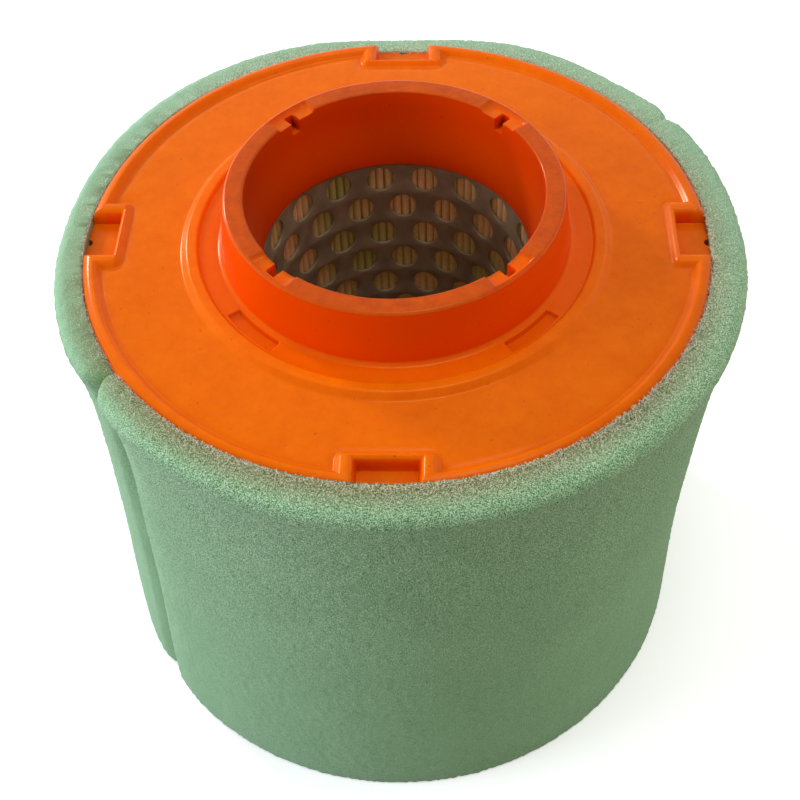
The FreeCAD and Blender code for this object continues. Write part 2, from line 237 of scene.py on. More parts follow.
# ------------------------------------------------------------------ pleated paper
# One long strip of resin-treated paper, scored and folded into a hundred pleats, bent round the tube and
# joined end to end. Both ends of the pack are cast into the caps.

PLEATS = 100
PAPER = 0.5 * mm
FOLD_RADIUS = 0.32 * mm
ROOT_RADIUS = 0.50 * mm
PLEAT_LEVELS = 13
PLEAT_DRIFT = 0.11 * mm
SEAM_ANGLE = math.pi / 2
PAPER_GAP = 0.35 * mm         # between the folds and the tube
CAST_DEPTH = (46.0 * mm, 34.0 * mm)     # distances from the axis between which the green sets in


def filter_paper():
    """Cream to pink paper with a fibrous face. Near the tube, the green light that comes through it is
    painted in as a green tint and a faint glow.
    """
    material, tree, shader = new_material("filter_paper", (0.62, 0.42, 0.29), 0.85)
    fibre = noise(tree, 900, detail=5.0).outputs["Fac"]
    paper = ramp(tree, fibre, [(0.3, (0.88, 0.49, 0.27)), (0.7, (1.0, 0.62, 0.37))])
    patch = noise(tree, 45, detail=1.0).outputs["Fac"]
    # painted light: a green tint in patches near the tube stands for light that comes through the paper
    near_tube = span(tree, reach_from_axis(tree), *CAST_DEPTH)
    cast = multiply(tree, span(tree, patch, low=-1.2, high=1.6), near_tube)
    tree.links.new(blend_colors(tree, cast, paper, (0.42, 0.40, 0.10)), shader.inputs["Base Color"])
    # painted light: a faint green glow keeps the gaps between the folds from going black, though the paper
    # is no lamp
    shader.inputs["Emission Color"].default_value = (0.30, 0.30, 0.05, 1.0)
    shader.inputs["Emission Strength"].default_value = 0.035
    bump(tree, shader, fibre, 0.08 * mm)
    return material


def make_pleats():
    low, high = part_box("pleated_media")
    outer = high.x
    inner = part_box("core_tube")[1].x + PAPER_GAP
    pitch = 2 * math.pi / PLEATS
    arc = np.linspace(-math.pi / 2, math.pi / 2, 5)
    climb = np.linspace(0, 1, 6)[1:-1]
    path = []        # radius, angle and sideways shift of each point of the folded strip
    for pleat in range(PLEATS):
        top = SEAM_ANGLE + pleat * pitch
        foot = top - pitch / 2
        up = [(inner + ROOT_RADIUS + (outer - inner - ROOT_RADIUS - FOLD_RADIUS) * f,
               foot + (top - foot) * f, ROOT_RADIUS * (1 - f) - FOLD_RADIUS * f, pleat - 0.5 + f / 2)
              for f in climb]
        down = [(r, 2 * top - a, -s, pleat + (pleat - k)) for r, a, s, k in reversed(up)]
        crown = [(outer - FOLD_RADIUS * (1 - math.cos(t)), top, FOLD_RADIUS * math.sin(t), pleat)
                 for t in arc]
        root = [(inner + ROOT_RADIUS * (1 - math.cos(t)), top + pitch / 2, -ROOT_RADIUS * math.sin(t),
                 pleat + 0.5) for t in arc]
        path += up + crown + down + root
    radius, angle, shift, order = np.array(path).T

    rng = np.random.default_rng(11)
    heights = np.linspace(low.z, high.z, PLEAT_LEVELS)
    sway = rng.normal(0, 1, (2 * PLEATS, 3)) * PLEAT_DRIFT
    folds = np.round(order * 2).astype(int) % (2 * PLEATS)
    loops = []
    for z, t in zip(heights, np.linspace(0, 1, PLEAT_LEVELS)):
        lean = sway[folds, 0] + sway[folds, 1] * math.sin(math.pi * t) + sway[folds, 2] * math.cos(5 * t)
        side = shift + lean * (0.3 + 0.7 * (radius - inner) / (outer - inner))
        x = radius * np.cos(angle) - side * np.sin(angle)
        y = radius * np.sin(angle) + side * np.cos(angle)
        run = np.roll(np.c_[x, y], -1, 0) - np.roll(np.c_[x, y], 1, 0)
        normal = np.c_[run[:, 1], -run[:, 0]] / np.linalg.norm(run, axis=1)[:, None]
        loops.append([np.c_[np.c_[x, y] + normal * PAPER / 2 * k, np.full(len(x), z)] for k in (1, -1)])
    rings = [outside for outside, _ in loops] + [inside for _, inside in reversed(loops)]
    faces = grid_faces(len(rings), len(radius))
    return new_piece("pleated_paper", np.concatenate(rings), faces, filter_paper(), 60)


pleats = make_pleats()
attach(pleats, "element")
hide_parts("pleated_media")

# ------------------------------------------------------------------ seam strip
# A folded strip of thin steel, crimped over the pleat where the two ends of the paper meet.
# It keeps the shape that it has in the frame.

seam_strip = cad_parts["pleat_seam_strip"]
seam_strip.data.materials.clear()
seam_strip.data.materials.append(core_tube.data.materials[0])

# ------------------------------------------------------------------ bottom end cap
# Soft orange urethane, poured into a round mould in which the paper and the tube stand.
# It closes the element, and the element stands on the ring round its edge.

CAP_STEPS = 240
BOTTOM_EDGE = 1.0 * mm
SEAT_RING = 6.0 * mm
SEAT_SLOPE = 1.2 * mm
SEAT_ROUND = 0.7 * mm
BASE_RECESS = 0.9 * mm
BASE_FLOOR = 6.0 * mm
BASE_CENTRE = 0.3 * mm
DUSTY_LIP = 0.9 * mm
CORNER_REACH = 5.0 * mm
# distances from the axis between which painted shade of the moulding sets in
COLLAR_SHADE = (37.6 * mm, 36.8 * mm)
WALL_SHADE = (58.0 * mm, 56.5 * mm)
RIM_SHADE = (57.4 * mm, 59.3 * mm)
BORE_SHADE = (28.6 * mm, 27.9 * mm)


def rounded_path(corners, steps=5):
    """A path through (radius, height, rounding) corners, each corner turned into an arc."""
    path = []
    for k, (r, z, rounding) in enumerate(corners):
        here = np.array([r, z])
        if rounding == 0 or k in (0, len(corners) - 1):
            path.append(here)
            continue
        before = np.array(corners[k - 1][:2]) - here
        after = np.array(corners[k + 1][:2]) - here
        before, after = before / np.linalg.norm(before), after / np.linalg.norm(after)
        half = math.acos(np.clip(before @ after, -1, 1)) / 2
        back = rounding / math.tan(half)
        bisector = before + after
        middle = here + bisector / np.linalg.norm(bisector) * rounding / math.sin(half)
        start, end = here + before * back - middle, here + after * back - middle
        for t in np.linspace(0, 1, steps):
            mix = start * (1 - t) + end * t
            path.append(middle + mix / np.linalg.norm(mix) * rounding)
    return np.array(path)


def urethane():
    """Satin orange urethane, chalky on the lip, with a few dark specks. Painted shade makes it redder and
    darker in its corners and pits, on its upright walls, inside the ridge, on the rim's edge and in the
    bore.
    """
    material, tree, shader = new_material("moulded_urethane", (0.81, 0.15, 0.001), 0.25)
    shader.inputs["Specular IOR Level"].default_value = 0.18
    shader.inputs["Specular Tint"].default_value = (1.0, 0.50, 0.24, 1.0)
    shader.inputs["Subsurface Weight"].default_value = 0.35
    shader.inputs["Subsurface Radius"].default_value = (1.0, 0.12, 0.02)
    shader.inputs["Subsurface Scale"].default_value = 3.5 * mm
    place = add_node(tree, "ShaderNodeTexCoord")
    at = add_node(tree, "ShaderNodeSeparateXYZ", {"Vector": place.outputs["Object"]}).outputs
    facing = add_node(tree, "ShaderNodeSeparateXYZ", {"Vector": place.outputs["Normal"]}).outputs["Z"]
    reach = reach_from_axis(tree)

    cloud = noise(tree, 150, detail=8.0, roughness=0.8).outputs["Fac"]
    color = ramp(tree, cloud, [(0.35, (0.74, 0.124, 0.0005)), (0.65, (0.82, 0.156, 0.001))])
    # painted shade: darker and redder inside the ridge, over the collar and the neck
    color = blend_colors(tree, span(tree, reach, *COLLAR_SHADE, high=0.4), color, (0.74, 0.080, 0.0))
    # painted shade: upright walls inside the rim are redder, as walls in shade under the top light
    upright = multiply(tree, span(tree, facing, 0.6, 0.1), span(tree, reach, *WALL_SHADE))
    color = blend_colors(tree, upright, color, (0.82, 0.056, 0.0))
    # painted shade: the rim's rounded outer edge and its side are darker
    color = blend_colors(tree, span(tree, reach, *RIM_SHADE, high=0.6), color, (0.60, 0.080, 0.0005))

    # painted shade: redder in the corners, darkest in the pits, and duller in the front half of the bore and
    # towards its left and right
    open_sky = add_node(tree, "ShaderNodeAmbientOcclusion", {"Distance": CORNER_REACH},
                        samples=6, only_local=True).outputs["AO"]
    color = blend_colors(tree, span(tree, open_sky, 0.86, 0.4, high=0.55), color, (0.70, 0.038, 0.0))
    color = blend_colors(tree, span(tree, open_sky, 0.38, 0.18, high=0.9), color, (0.10, 0.012, 0.002))
    # painted shade: the bore is duller in its front half and towards its left and right, and so is the
    # middle of the bottom cap
    near_bore_shade = multiply(tree, span(tree, reach, *BORE_SHADE), span(tree, at["Y"], 25 * mm, 5 * mm))
    color = blend_colors(tree, near_bore_shade, color, (0.72, 0.66, 0.6), "MULTIPLY")

    # chalky dust on the lip, and specks all over
    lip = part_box("top_end_cap")[1].z
    bloom = noise(tree, 420, detail=6.0, roughness=0.7).outputs["Fac"]
    dust = multiply(tree, span(tree, at["Z"], lip - DUSTY_LIP, lip), span(tree, bloom, high=1.5))
    color = blend_colors(tree, dust, color, (0.45, 0.058, 0.007))
    fleck = noise(tree, 1500, detail=0.0).outputs["Fac"]
    color = blend_colors(tree, span(tree, fleck, 0.82, 0.86, high=0.35), color, (0.22, 0.03, 0.004))
    tree.links.new(color, shader.inputs["Base Color"])
    tree.links.new(span(tree, bloom, low=0.14, high=0.26), shader.inputs["Roughness"])
    bump(tree, shader, noise(tree, 1500, detail=4.0).outputs["Fac"], 0.02 * mm, 0.5)
    return material


def make_bottom_cap(material):
    low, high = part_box("bottom_end_cap")
    edge = high.x
    recess = low.z + BASE_RECESS
    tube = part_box("core_tube")[1].x + TUBE_FIT
    section = rounded_path([
        (BASE_CENTRE, BASE_FLOOR, 0), (tube, BASE_FLOOR, 0), (tube, high.z, 0.3 * mm),
        (edge, high.z, 0.4 * mm), (edge, low.z, BOTTOM_EDGE), (edge - SEAT_RING, low.z, SEAT_ROUND),
        (edge - SEAT_RING - SEAT_SLOPE, recess, SEAT_ROUND), (BASE_CENTRE, recess, 0)])
    turn = np.arange(CAP_STEPS) * 2 * math.pi / CAP_STEPS
    points = [np.c_[r * np.cos(turn), r * np.sin(turn), np.full(CAP_STEPS, z)] for r, z in section]
    faces = [tuple(range(CAP_STEPS)),
             tuple(reversed(range((len(section) - 1) * CAP_STEPS, len(section) * CAP_STEPS)))]
    faces += grid_faces(len(section), CAP_STEPS, close=False, flip=True)
    return new_piece("bottom_cap_moulding", np.concatenate(points), faces, material)


cap_urethane = urethane()
bottom_cap = make_bottom_cap(cap_urethane)
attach(bottom_cap, "element")
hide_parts("bottom_end_cap")

# ------------------------------------------------------------------ top end cap
# The same urethane, poured in one casting: a flat field inside a rim bead, a ridge and a collar round the
# foot of the neck, and the neck, whose bore seals on the intake stub. Four slots in the rim locate the
# element, and the bead runs round each. The lip has four recesses with a vent pit in each.

NECK_HEIGHT = 11.1 * mm
NECK_BORE = 27.75 * mm
BORE_EDGE = 0.38 * mm
LIP_RADIUS = 31.5 * mm
LIP_EDGE = 0.7 * mm
FOOT_RADIUS = 33.1 * mm
FOOT_ROUND = 1.1 * mm
THROAT = 25.85 * mm
THROAT_DROP = 6.0 * mm
RIM_WIDTH = 3.5 * mm
RIM_RISE = 0.9 * mm
RIM_EDGE = 2.1 * mm
RIM_GROOVE = 0.22 * mm
RIDGE_INNER = 37.25 * mm
RIDGE_OUTER = 40.75 * mm
RIDGE_RISE = 1.3 * mm
COLLAR_RISE = 0.5 * mm
SLOT_HALF = 5.6 * mm
SLOT_REACH = 6.1 * mm
SLOT_DROP = 3.1 * mm
SLOT_WALL = 0.5 * mm
SLOT_ROUND = 1.2 * mm
BEAD_ROUND = 1.45 * mm
BEAD_CORNER = 1.6 * mm
SLOT_BEAD_SIDE = 3.25 * mm
SLOT_BEAD_END = 1.9 * mm
NICK_RADIUS = 0.9 * mm
WINDOW_HALF = math.radians(9.3)
WINDOW_DEPTH = 0.8 * mm
WINDOW_INNER = 34.25 * mm
WINDOW_OUTER = 36.6 * mm
NOTCH_DEPTH = 0.9 * mm
NOTCH_BORDER = 0.7 * mm
PIT_HALF = math.radians(1.9)
PIT_REACH = 2.3 * mm
PIT_DEPTH = 3.6 * mm
RIDGE_INNER_FLANK = 0.5 * mm
RIDGE_OUTER_FLANK = 1.1 * mm
WINDOW_EDGE = 0.12 * mm
QUARTER = math.pi / 2
CAP_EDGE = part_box("top_end_cap")[1].x
BEAD_RADIUS = CAP_EDGE - 2.5 * mm
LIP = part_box("top_end_cap")[1].z
RIM_TOP = LIP - NECK_HEIGHT
FIELD = RIM_TOP - RIM_RISE
COLLAR = FIELD + COLLAR_RISE
SLOT_END = CAP_EDGE - SLOT_REACH
BEAD_END = SLOT_END - SLOT_BEAD_END
BEAD_SIDE = SLOT_HALF + SLOT_BEAD_SIDE


def ease(low, high, value):
    """0 below low, 1 above high, and a smooth step between them."""
    t = np.clip((value - low) / (high - low), 0, 1)
    return t * t * (3 - 2 * t)


def grid_lines(low, high, edges, fine, reach, coarse):
    """Positions from low to high, fine within reach of each edge and coarse elsewhere."""
    places = {low, high}
    for edge in edges:
        for place in np.arange(edge - reach, edge + reach + fine / 2, fine):
            if low < place < high:
                places.add(float(place))
    places = sorted(places)
    lines = [places[0]]
    for a, b in zip(places, places[1:]):
        parts = max(1, math.ceil((b - a) / coarse))
        lines += [a + (b - a) * k / parts for k in range(1, parts + 1)]
    return np.array(lines)


def angle_lines():
    """Angles of one quarter of the cap, with a slot in its middle and half a notch at each end."""
    slot_wall = grid_lines(0, QUARTER / 2, [SLOT_HALF / BEAD_RADIUS + 0.006], 0.0026, 0.019, 0.03)
    bead_foot = grid_lines(0, QUARTER / 2, [BEAD_SIDE / BEAD_RADIUS - 0.008], 0.0022, 0.014, 0.03)
    nick = grid_lines(0, 0.021, [0], 0.003, 0.02, 0.03)
    half = np.union1d(np.union1d(slot_wall, bead_foot), nick)
    ends = grid_lines(QUARTER / 2 - 0.22, QUARTER / 2,
                      [QUARTER / 2 - WINDOW_HALF, QUARTER / 2 - PIT_HALF], 0.004, 0.014, 0.03)
    half = np.union1d(half[half < QUARTER / 2 - 0.22], ends)
    half = half[np.r_[True, np.diff(half) > 0.0007]]
    return np.concatenate([-half[:0:-1], half])[1:]


def cap_section():
    """The cap's outline from the tube up the bore, over the lip and out to the rim, in named stretches."""
    rise = np.linspace(0, 1, 14)[:-1]
    throat_end = RIM_TOP - THROAT_DROP
    shelf = grid_lines(FOOT_RADIUS + 1.3 * mm, RIDGE_INNER - 0.35 * mm, [WINDOW_INNER, WINDOW_OUTER],
                       0.1 * mm, 0.3 * mm, 0.6 * mm)
    deck = grid_lines(RIDGE_OUTER + 2.4 * mm, CAP_EDGE - RIM_EDGE,
                      [BEAD_END + 0.35 * mm, SLOT_END - 0.3 * mm, CAP_EDGE - RIM_WIDTH + 0.35 * mm],
                      0.14 * mm, 1.0 * mm, 1.6 * mm)
    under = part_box("top_end_cap")[0].z
    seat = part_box("core_tube")[1].x + TUBE_FIT
    return {
        "neck": np.c_[THROAT + (NECK_BORE - THROAT) * ease(-0.1, 1, rise),
                      throat_end + (LIP - PIT_DEPTH - throat_end) * rise],
        "wall": np.c_[np.full(9, NECK_BORE), np.linspace(LIP - PIT_DEPTH, LIP - 0.4 * mm, 9)],
        "bend": rounded_path([(NECK_BORE, LIP - 1 * mm, 0), (NECK_BORE, LIP, BORE_EDGE),
                              (NECK_BORE + 1 * mm, LIP, 0)], 4)[1:-1],
        "top": np.c_[np.linspace(NECK_BORE + 0.5 * mm, NECK_BORE + PIT_REACH + 0.2 * mm, 10),
                     np.full(10, LIP)],
        "outside": rounded_path([(NECK_BORE + 2.6 * mm, LIP, 0), (LIP_RADIUS, LIP, LIP_EDGE),
                                 (FOOT_RADIUS, COLLAR, FOOT_ROUND), (FOOT_RADIUS + 1.2 * mm, COLLAR, 0)], 9),
        "shelf": np.c_[shelf, np.full(len(shelf), COLLAR)],
        "ridge": rounded_path([(RIDGE_INNER - 0.3 * mm, COLLAR, 0), (RIDGE_INNER, COLLAR, 0.25 * mm),
                               (RIDGE_INNER + RIDGE_INNER_FLANK, FIELD + RIDGE_RISE, 0.6 * mm),
                               (RIDGE_OUTER - RIDGE_OUTER_FLANK, FIELD + RIDGE_RISE, 0.8 * mm),
                               (RIDGE_OUTER, FIELD, 0.9 * mm), (RIDGE_OUTER + 2 * mm, FIELD, 0)], 7),
        "deck": np.c_[deck, np.full(len(deck), FIELD)],
        "rim": rounded_path([(CAP_EDGE - RIM_EDGE - 0.1 * mm, RIM_TOP, 0), (CAP_EDGE, RIM_TOP, RIM_EDGE),
                             (CAP_EDGE, RIM_TOP - 2.4 * mm, 0)], 7)[1:],
        "side": np.c_[np.full(5, CAP_EDGE), np.linspace(RIM_TOP - 2.8 * mm, under, 5)],
        "back": np.array([(CAP_EDGE - 3 * mm, under), (seat, under), (seat, throat_end)])}


def sink_lip(r, z, notch, stretch):
    """The recess in the lip, and the pit whose floor and back wall take the place of the bore's top."""
    in_notch = (1 - ease(WINDOW_HALF - 0.024, WINDOW_HALF + 0.006, notch))[None, :]
    border = LIP_RADIUS - NOTCH_BORDER
    inward = 1 - ease(border - 0.15 * mm, border + 0.2 * mm, r)
    lowered = np.minimum(z, LIP - NOTCH_DEPTH)
    z = np.where(r < FOOT_RADIUS, z + (lowered - z) * in_notch * inward, z)

    in_pit = np.isin(stretch, ["wall", "bend", "top"])
    floor_count = np.sum(stretch == "wall")
    back_count = np.sum(in_pit) - floor_count
    pit_r = np.concatenate([np.linspace(NECK_BORE, NECK_BORE + PIT_REACH, floor_count),
                            np.full(back_count, NECK_BORE + PIT_REACH)])
    pit_z = np.concatenate([np.full(floor_count, LIP - PIT_DEPTH),
                            np.linspace(LIP - PIT_DEPTH, LIP - NOTCH_DEPTH, back_count)])
    pit = (1 - ease(PIT_HALF - 0.006, PIT_HALF + 0.006, notch))[None, :]
    r[in_pit] = r[in_pit] + (pit_r[:, None] - r[in_pit]) * pit
    z[in_pit] = z[in_pit] + (pit_z[:, None] - z[in_pit]) * pit
    return r, z


def window_depth(r, notch):
    """How far the shallow windows sink the collar."""
    return (WINDOW_DEPTH * ((1 - ease(WINDOW_HALF - 0.004, WINDOW_HALF + 0.004, notch))[None, :]
                            * ease(WINDOW_INNER - WINDOW_EDGE, WINDOW_INNER + WINDOW_EDGE, r)
                            * (1 - ease(WINDOW_OUTER - WINDOW_EDGE, WINDOW_OUTER + WINDOW_EDGE, r))))


def bead_height(x, y):
    """The rim bead and the bead round each slot, as high as a smooth step from its inner foot."""
    over_end = BEAD_END + BEAD_CORNER - x
    over_side = np.abs(y) - BEAD_SIDE + BEAD_CORNER
    frame_in = BEAD_CORNER - (np.hypot(np.maximum(over_end, 0), np.maximum(over_side, 0))
                              + np.minimum(np.maximum(over_end, over_side), 0))
    inside = np.maximum(np.hypot(x, y) - (CAP_EDGE - RIM_WIDTH), frame_in)
    rise = RIM_RISE * ease(-0.15, 1, inside / BEAD_ROUND)
    return rise - RIM_GROOVE * np.exp(-((inside + 0.2 * mm) / (0.55 * mm)) ** 2)


def make_top_cap(material):
    quarter = angle_lines()
    turn = np.concatenate([quarter + k * QUARTER for k in range(4)])
    local = np.tile(quarter, 4)                          # angle from the middle of the nearest slot
    notch = np.abs(QUARTER / 2 - np.abs(local))          # angle from the middle of the nearest notch
    stretches = cap_section()
    section = np.concatenate(list(stretches.values()))
    stretch = np.concatenate([[name] * len(points) for name, points in stretches.items()])
    r = np.repeat(section[:, :1], len(turn), 1)
    z = np.repeat(section[:, 1:], len(turn), 1)
    angle = np.tile(local, (len(section), 1))
    r, z = sink_lip(r, z, notch, stretch)
    z = z - window_depth(r, notch)

    # round each slot the grid's lines run along the slot's own walls
    across = angle * BEAD_RADIUS
    x, y = r * np.cos(angle), r * np.sin(angle)
    arc = np.sqrt(np.maximum(r * r - across * across, 0))
    straight = r + (arc - r) * ease(SLOT_END + 0.9 * mm, CAP_EDGE - RIM_WIDTH, r)
    pull = ease(45 * mm, 50 * mm, r) * (1 - ease(10 * mm, 15 * mm, np.abs(across)))
    x, y = x + (straight - x) * pull, y + (across - y) * pull
    on_deck = stretch == "deck"
    z[on_deck] = z[on_deck] + bead_height(x, y)[on_deck]

    # the slot: a rounded edge, a steep wall and a flat floor, with a half-round nick in the rim beyond it
    off = np.where(r > 45 * mm, np.maximum(np.abs(y) - SLOT_HALF, SLOT_END - x), SLOT_ROUND)
    near = np.clip(1 - off / SLOT_ROUND, 0, 1)
    edge_z = RIM_TOP - SLOT_ROUND * (1 - np.sqrt(1 - near ** 2))
    wall_z = edge_z + (RIM_TOP - SLOT_DROP - edge_z) * ease(0, SLOT_WALL, -off)
    z = np.where(off < SLOT_ROUND, np.minimum(z, wall_z), z)
    nick = np.sqrt(np.maximum(NICK_RADIUS ** 2 - y * y, 0)) * ease(CAP_EDGE - 1.4 * mm, CAP_EDGE, r)
    x = x - nick * (z > RIM_TOP - 5 * mm)

    spin = turn - local
    points = np.stack([x * np.cos(spin) - y * np.sin(spin), x * np.sin(spin) + y * np.cos(spin), z], -1)
    faces = grid_faces(*r.shape, flip=True)
    return new_piece("top_cap_moulding", points.reshape(-1, 3), faces, material, 50)


top_cap = make_top_cap(cap_urethane)
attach(top_cap, "element")
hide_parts("top_end_cap")

# ------------------------------------------------------------------ foam pre-cleaner sleeve
# Two sheets of green open-cell foam, welded to each other along two upright seams and pulled over the
# element. The rim spreads the top of the sleeve, each weld pinches the foam into a crease, and the sleeve
# sits a little askew.

FOAM_GRAIN = 0.62 * mm
FOAM_ROUGH = 0.07 * mm
SLEEVE_GAP = 0.12 * mm
WAIST = 63.15 * mm
TOP_FLARE = 3.9 * mm
TOP_FLARE_FADE = 10 * mm
FOOT_FLARE = 1.5 * mm
TOP_LEAN = 0.7 * mm
FOOT_LEAN = 1.25 * mm
TOP_ROUND = 4.0 * mm
EDGE_MIDDLE = 1.2 * mm
EDGE_TILT = 1.2 * mm
PINCH_WIDTH = 3.6 * mm
PINCH_DEPTH = 5.2 * mm
PINCH_FADE = 0.65
PINCH_SHEET = 0.45 * mm
PINCH_DROP = 0.9 * mm
INNER_ROUND = 0.6 * mm
RIGHT_PINCH = 0.35
BACK_SPREAD = 1.1 * mm
BACK_SPREAD_FADE = 25 * mm
BACK_DIP = 0.9 * mm
FOOT_SLIP = 0.9 * mm
WELD_LEFT = math.radians(-144.9)
WELD_RIGHT = math.radians(32.6)


def open_cell_foam():
    """Green reticulated foam: fine pale strands round darker pores, pressed dark along the welds. Painted
    shade makes the side that faces the front darker, and browner along its top edge next to the cap.
    """
    material, tree, shader = new_material("sleeve_foam", (0.30, 0.45, 0.32), 0.9)
    shader.inputs["Sheen Weight"].default_value = 0.2
    shader.inputs["Sheen Roughness"].default_value = 0.6
    shader.inputs["Specular IOR Level"].default_value = 0.06
    shader.inputs["Subsurface Weight"].default_value = 0.3
    shader.inputs["Subsurface Radius"].default_value = (0.8, 1.0, 0.85)
    shader.inputs["Subsurface Scale"].default_value = 2.0 * mm
    pores = noise(tree, 5200, detail=1.0, roughness=0.6).outputs["Fac"]
    strands = ramp(tree, pores, [(0.38, (0.08, 0.20, 0.08)), (0.5, (0.30, 0.52, 0.33)),
                                 (0.62, (0.72, 0.88, 0.70))])
    place = add_node(tree, "ShaderNodeTexCoord").outputs["Object"]
    at = add_node(tree, "ShaderNodeSeparateXYZ", {"Vector": place}).outputs
    front = span(tree, at["Y"], 30 * mm, -45 * mm, low=0.2)
    crisp = multiply(tree, span(tree, at["Z"], RIM_TOP - 80 * mm, RIM_TOP, 0.3, 1.1), front)
    open_cells = multiply(tree, crisp, span(tree, at["X"], -62 * mm, -35 * mm, low=0.25))
    grain = blend_colors(tree, open_cells, (0.31, 0.53, 0.34), strands)
    cloud = noise(tree, 60, detail=3.0).outputs["Fac"]
    shade = ramp(tree, cloud, [(0.3, (0.90, 0.92, 0.90)), (0.7, (1.0, 1.0, 1.0))])
    patched = blend_colors(tree, 1.0, grain, shade, "MULTIPLY")
    # painted shade: browner and darker along the top edge at the front, next to the cap
    near_cap = span(tree, reach_from_axis(tree), 64.5 * mm, 60.0 * mm)
    crown = span(tree, at["Z"], RIM_TOP - 7 * mm, RIM_TOP - 1 * mm)
    front_rim_shade = multiply(tree, multiply(tree, near_cap, front), crown)
    patched = blend_colors(tree, front_rim_shade, patched, (0.70, 0.45, 0.32), "MULTIPLY")
    # painted shade: the side of the sleeve that faces the front is darker and yellower
    patched = blend_colors(tree, front, patched, (0.87, 0.93, 0.80), "MULTIPLY")
    crease = add_node(tree, "ShaderNodeAttribute", attribute_name="pinch").outputs["Fac"]
    tree.links.new(blend_colors(tree, crease, patched, (0.16, 0.30, 0.10)), shader.inputs["Base Color"])
    bump(tree, shader, pores, 0.25 * mm, 0.8)
    return material


def foam_outline(turn, depth):
    """Outer radius of the sleeve at an angle and a depth below the rim, before the welds pinch it."""
    down = depth / RIM_TOP
    radius = WAIST + TOP_FLARE * np.exp(-depth / TOP_FLARE_FADE) + FOOT_FLARE * ease(0.55, 1.1, down)
    lean = TOP_LEAN - (TOP_LEAN + FOOT_LEAN) * ease(0, 0.9, down)
    slip = -FOOT_SLIP * ease(0.3, 1, down)
    spread = BACK_SPREAD * back_corners(turn) * np.exp(-depth / BACK_SPREAD_FADE)
    return radius + lean * np.cos(turn) + slip * np.sin(turn) + spread


def back_corners(turn):
    """1 round the back, where the sleeve stands off the rim, with two dips in it, and 0 at the front."""
    degrees = np.degrees(turn) % 360
    dips = 0.8 * np.exp(-((degrees - 90) / 14) ** 2) + 0.5 * np.exp(-((degrees - 46) / 11) ** 2)
    return ease(0.0, 0.72, np.sin(turn)) * (1 - dips)


def foam_edge(turn):
    """Height of the sleeve's top edge: level with the rim at the front, lower at the back."""
    level = RIM_TOP - EDGE_MIDDLE - EDGE_TILT * np.sin(turn)
    return level + BACK_SPREAD * back_corners(turn) - BACK_DIP * np.maximum(np.sin(turn), 0) ** 8


def weld_pinch(turn):
    """About 1 at the left weld and less at the right one, which is pressed lightly. It fades beside them."""
    left, right = [np.abs((turn - seam + math.pi) % (2 * math.pi) - math.pi) * WAIST / PINCH_WIDTH
                   for seam in (WELD_LEFT, WELD_RIGHT)]
    crease = 0.8 * (1 - np.clip(left, 0, 1)) ** 1.5 + 0.25 * np.exp(-(left / 1.8) ** 2)
    return crease + RIGHT_PINCH * (1 - np.clip(right, 0, 1)) ** 1.5


def make_sleeve_panel(name, start, end, seed, material):
    columns = int((end - start) * WAIST / FOAM_GRAIN)
    turn = np.linspace(start, end, columns)
    pinch = weld_pinch(turn)

    # the section, as a share of the thickness and a drop below the top edge: up the inside, over, down
    length = RIM_TOP - EDGE_MIDDLE
    width = WAIST + TOP_FLARE - CAP_EDGE - SLEEVE_GAP
    crown = rounded_path([(0, -1.4 * mm, 0), (0, 0, INNER_ROUND), (width, 0, TOP_ROUND),
                          (width, -TOP_ROUND - 0.1 * mm, 0)], 11)
    wall = np.arange(TOP_ROUND + 0.7 * mm, length - 1.2 * mm, FOAM_GRAIN)
    share = np.concatenate([np.zeros(12), crown[1:, 0] / width, np.ones(len(wall)), [1, 0.9, 0.45, 0.02]])
    drop = np.concatenate([np.linspace(length - 0.6 * mm, 1.4 * mm, 12), -crown[1:, 1], wall,
                           [length - 0.5 * mm, length, length, length]])

    edge = foam_edge(turn)[None, :] - PINCH_DROP * pinch[None, :]
    drop = drop[:, None] * edge / length
    z = edge - drop
    depth = RIM_TOP - z
    pressed_in = (PINCH_DEPTH * (0.55 + 0.45 * ease(0, 10 * mm, depth))
                  * (1 - PINCH_FADE * ease(15 * mm, 45 * mm, depth)))
    outer = foam_outline(turn[None, :], depth) - pressed_in * pinch[None, :]
    above = np.clip(RIM_EDGE - depth, 0, RIM_EDGE)
    inner = CAP_EDGE + SLEEVE_GAP - 0.85 * (RIM_EDGE - np.sqrt(RIM_EDGE ** 2 - above ** 2))
    radius = inner + np.maximum(outer - inner, PINCH_SHEET) * share[:, None]

    rng = np.random.default_rng(seed)
    skin = (share > 0.05)[:, None] & (z > 0.5 * mm)
    radius = radius + np.where(skin, rng.normal(0, FOAM_ROUGH, radius.shape), 0)
    z = z + np.where(skin & (share < 0.97)[:, None], rng.normal(0, FOAM_ROUGH, z.shape), 0)

    points = np.stack([radius * np.cos(turn), radius * np.sin(turn), z], -1)
    rows = len(share)
    faces = []
    for i in range(rows):
        a, b = i * columns, ((i + 1) % rows) * columns
        faces += [(a + k, b + k, b + k + 1, a + k + 1) for k in range(columns - 1)]
    faces.append(tuple(i * columns for i in reversed(range(rows))))
    faces.append(tuple(i * columns + columns - 1 for i in range(rows)))
    panel = new_piece(name, points.reshape(-1, 3), faces, material, 80)
    pressed = panel.data.attributes.new("pinch", "FLOAT", "POINT")
    pressed.data.foreach_set("value", (pinch ** 3 * (0.3 + 0.7 * np.exp(-depth / (5 * mm)))).ravel())
    return panel


foam = open_cell_foam()
for label, start, end, seed in (("front", WELD_LEFT, WELD_RIGHT, 3),
                                ("back", WELD_RIGHT, WELD_LEFT + 2 * math.pi, 5)):
    panel = make_sleeve_panel(f"sleeve_{label}_foam", start, end, seed, foam)
    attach(panel, "pre_cleaner")
    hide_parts(f"sleeve_{label}_panel")

